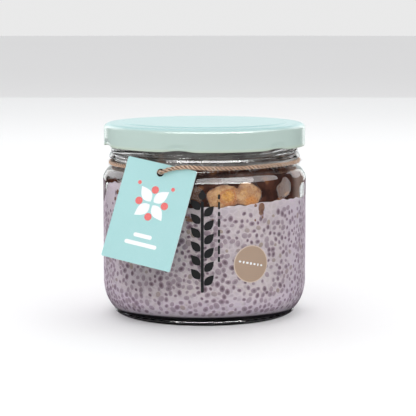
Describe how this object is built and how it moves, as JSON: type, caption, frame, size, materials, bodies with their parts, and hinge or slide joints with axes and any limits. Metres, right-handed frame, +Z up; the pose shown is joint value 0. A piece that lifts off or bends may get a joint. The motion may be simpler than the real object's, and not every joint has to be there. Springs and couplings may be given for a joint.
{
  "type": "jar of chia pudding",
  "caption": "Shut clear glass jar of chia pudding under a stewed apple topping, with a mint twist-off lid, a jute twine round its neck, a card tag and a round sticker.",
  "frame": {"origin": "on the jar's axis, in the plane that its foot ring stands on", "axes": "+Z up along the jar's axis; -Y is the front that the picture shows, and +X is to the right seen from there"},
  "size_m": [0.0856, 0.0979, 0.0811],
  "materials": {
    "glass": "polished",
    "mint_paint": "satin",
    "pudding": "satin",
    "stewed_apple": "satin",
    "jute": "matte",
    "aqua_card": "matte",
    "beige_paper": "satin",
    "black_print": "satin"
  },
  "bodies": {
    "root": {"jar": "glass", "lid": "mint_paint", "chia_pudding": "pudding", "apple_topping": "stewed_apple", "twine": "jute", "tag": "aqua_card", "sticker": "beige_paper"}
  },
  "joints": []
}
